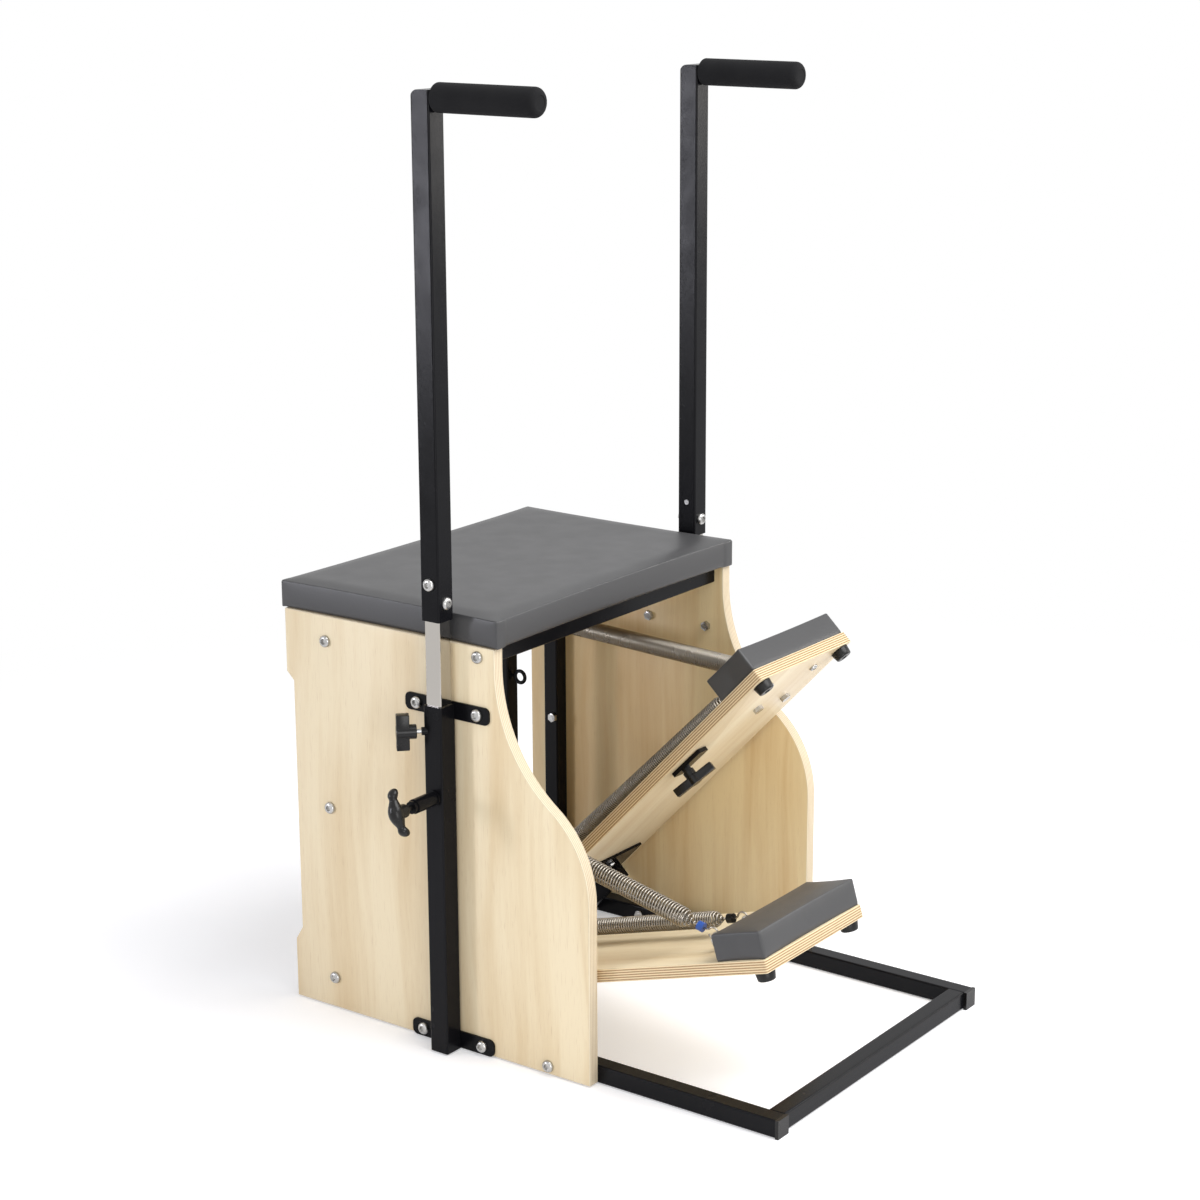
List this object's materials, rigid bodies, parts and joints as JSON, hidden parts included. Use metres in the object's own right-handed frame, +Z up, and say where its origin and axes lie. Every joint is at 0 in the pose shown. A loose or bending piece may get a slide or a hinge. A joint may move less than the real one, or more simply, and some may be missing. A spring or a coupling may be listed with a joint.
{
  "type": "pilates chair",
  "caption": "Pilates chair with plywood sides, padded seat, spring-loaded split pedals on a steel base and handles that slide in tubes",
  "frame": {"origin": "middle of the base on the floor", "axes": "+Z up, -Y towards the pedals, +X to the right-hand handle side"},
  "size_m": [0.792, 0.81, 1.305],
  "materials": {
    "plywood": "clear satin varnish on pale birch ply",
    "black_steel": "fine textured black powder coat",
    "chrome_tube": "bright chrome",
    "zinc": "zinc plated",
    "spring_steel": "oiled bright spring wire",
    "vinyl": "dark grey grained vinyl",
    "foam": "matt black foam",
    "black_plastic": "moulded, slightly glossy",
    "black_rubber": "matt",
    "blue_plastic": "moulded"
  },
  "bodies": {
    "frame": {"left_panel": "plywood", "right_panel": "plywood", "base_left_rail": "black_steel", "base_right_rail": "black_steel", "base_front_rail": "black_steel", "base_rear_rail": "black_steel", "rail_end_caps": "black_plastic", "left_corner_post": "black_steel", "right_corner_post": "black_steel", "left_spring_post": "black_steel", "right_spring_post": "black_steel", "rear_top_rail": "black_steel", "front_seat_rail": "black_steel", "seat_board": "plywood", "seat_cushion": "vinyl", "panel_bolts": "zinc", "strap_bolts": "zinc", "left_sleeve": "black_steel", "right_sleeve": "black_steel", "left_plunger_barrel": "black_steel", "right_plunger_barrel": "black_steel", "spring_hooks": "black_steel", "spring_eyes": "black_steel", "pedal_axle": "black_steel"},
    "left_handle": {"left_inner_tube": "chrome_tube", "left_upper_tube": "black_steel", "left_grip": "foam", "left_handle_bolts": "zinc"},
    "left_plunger": {"left_plunger_pin": "zinc", "left_plunger_pull": "black_plastic"},
    "left_clamp": {"left_clamp_knob": "black_plastic"},
    "left_pedal": {"left_pedal_board": "plywood", "left_pedal_pad": "vinyl", "left_pedal_hinge": "black_steel", "left_pedal_bumpers": "black_rubber", "left_pedal_eyes": "zinc", "left_pedal_bolts": "zinc"},
    "left_outer_spring": {"left_outer_spring": "spring_steel"},
    "left_outer_spring_end": {"left_outer_spring_collar": "blue_plastic"},
    "left_inner_spring": {"left_inner_spring": "spring_steel"},
    "left_inner_spring_end": {"left_inner_spring_collar": "black_plastic"},
    "right_handle": {"right_inner_tube": "chrome_tube", "right_upper_tube": "black_steel", "right_grip": "foam", "right_handle_bolts": "zinc"},
    "right_plunger": {"right_plunger_pin": "zinc", "right_plunger_pull": "black_plastic"},
    "right_clamp": {"right_clamp_knob": "black_plastic"},
    "right_pedal": {"right_pedal_board": "plywood", "right_pedal_pad": "vinyl", "right_pedal_hinge": "black_steel", "right_pedal_bumpers": "black_rubber", "right_pedal_eyes": "zinc", "right_pedal_bolts": "zinc"},
    "right_outer_spring": {"right_outer_spring": "spring_steel"},
    "right_outer_spring_end": {"right_outer_spring_collar": "black_plastic"},
    "right_inner_spring": {"right_inner_spring": "spring_steel"},
    "right_inner_spring_end": {"right_inner_spring_collar": "black_plastic"},
    "turn_knob": {"turn_plate": "black_steel", "turn_knob": "black_plastic"}
  },
  "joints": [
    {"name": "left_handle_slide", "type": "slide", "parent": "frame", "child": "left_handle", "axis": [0, 0, 1], "range_m": [-0.111, 0.185]},
    {"name": "left_plunger_pull", "type": "slide", "parent": "frame", "child": "left_plunger", "axis": [-1, 0, 0], "range_m": [-0.008, 0]},
    {"name": "left_clamp_turn", "type": "hinge", "parent": "frame", "child": "left_clamp", "pos_m": [-0.311, 0.1245, 0.459], "axis": [-0.7071, 0.7071, 0], "continuous": true},
    {"name": "left_pedal_swing", "type": "hinge", "parent": "frame", "child": "left_pedal", "pos_m": [0, 0.241, 0.0135], "axis": [-1, 0, 0], "range_deg": [-15.9, 30.2], "stiffness_Nm_per_rad": 100, "springref_deg": 5.84},
    {"name": "left_outer_spring_swing", "type": "hinge", "parent": "frame", "child": "left_outer_spring", "pos_m": [-0.196, 0.337, 0.365], "axis": [1, 0, 0], "range_deg": [-23.47, 12.59]},
    {"name": "left_outer_spring_stretch", "type": "slide", "parent": "left_outer_spring", "child": "left_outer_spring_end", "axis": [0, -0.9743, -0.2254], "range_m": [-0.17469, 0.09292], "deforming": ["left_outer_spring"]},
    {"name": "left_inner_spring_swing", "type": "hinge", "parent": "frame", "child": "left_inner_spring", "pos_m": [-0.126, 0.304, 0.06], "axis": [1, 0, 0], "range_deg": [-28.7, 15.35]},
    {"name": "left_inner_spring_stretch", "type": "slide", "parent": "left_inner_spring", "child": "left_inner_spring_end", "axis": [0, -0.96, 0.28], "range_m": [-0.03668, 0.02026], "deforming": ["left_inner_spring"]},
    {"name": "right_handle_slide", "type": "slide", "parent": "frame", "child": "right_handle", "axis": [0, 0, 1], "range_m": [-0.111, 0.185]},
    {"name": "right_plunger_pull", "type": "slide", "parent": "frame", "child": "right_plunger", "axis": [1, 0, 0], "range_m": [-0.008, 0]},
    {"name": "right_clamp_turn", "type": "hinge", "parent": "frame", "child": "right_clamp", "pos_m": [0.311, 0.1245, 0.459], "axis": [0.7071, 0.7071, 0], "continuous": true},
    {"name": "right_pedal_swing", "type": "hinge", "parent": "frame", "child": "right_pedal", "pos_m": [0, 0.241, 0.0135], "axis": [-1, 0, 0], "range_deg": [-46.1, 0], "stiffness_Nm_per_rad": 100, "springref_deg": 4.3},
    {"name": "right_outer_spring_swing", "type": "hinge", "parent": "frame", "child": "right_outer_spring", "pos_m": [0.196, 0.337, 0.471], "axis": [1, 0, 0], "range_deg": [-0.5, 29.31]},
    {"name": "right_outer_spring_stretch", "type": "slide", "parent": "right_outer_spring", "child": "right_outer_spring_end", "axis": [0, -0.9989, -0.0462], "range_m": [-0.002, 0.32613], "deforming": ["right_outer_spring"]},
    {"name": "right_inner_spring_swing", "type": "hinge", "parent": "frame", "child": "right_inner_spring", "pos_m": [0.126, 0.304, 0.06], "axis": [1, 0, 0], "range_deg": [-0.5, 43.56]},
    {"name": "right_inner_spring_stretch", "type": "slide", "parent": "right_inner_spring", "child": "right_inner_spring_end", "axis": [0, -0.7087, 0.7055], "range_m": [-0.002, 0.055], "deforming": ["right_inner_spring"]},
    {"name": "turn_knob_turn", "type": "hinge", "parent": "right_pedal", "child": "turn_knob", "pos_m": [0.05, -0.04483, 0.34598], "axis": [0, 0.7278, 0.6858], "range_deg": [-90, 0]}
  ],
  "couplings": [
    {"joint": "left_outer_spring_swing", "follows": "left_pedal_swing", "ratio": -0.76067},
    {"joint": "left_outer_spring_stretch", "follows": "left_pedal_swing", "m_per_rad": -0.32762},
    {"joint": "left_inner_spring_swing", "follows": "left_pedal_swing", "ratio": -0.93377},
    {"joint": "left_inner_spring_stretch", "follows": "left_pedal_swing", "m_per_rad": -0.065788},
    {"joint": "right_outer_spring_swing", "follows": "right_pedal_swing", "ratio": -0.62498},
    {"joint": "right_outer_spring_stretch", "follows": "right_pedal_swing", "m_per_rad": -0.40285},
    {"joint": "right_inner_spring_swing", "follows": "right_pedal_swing", "ratio": -0.93397},
    {"joint": "right_inner_spring_stretch", "follows": "right_pedal_swing", "m_per_rad": -0.065867}
  ]
}
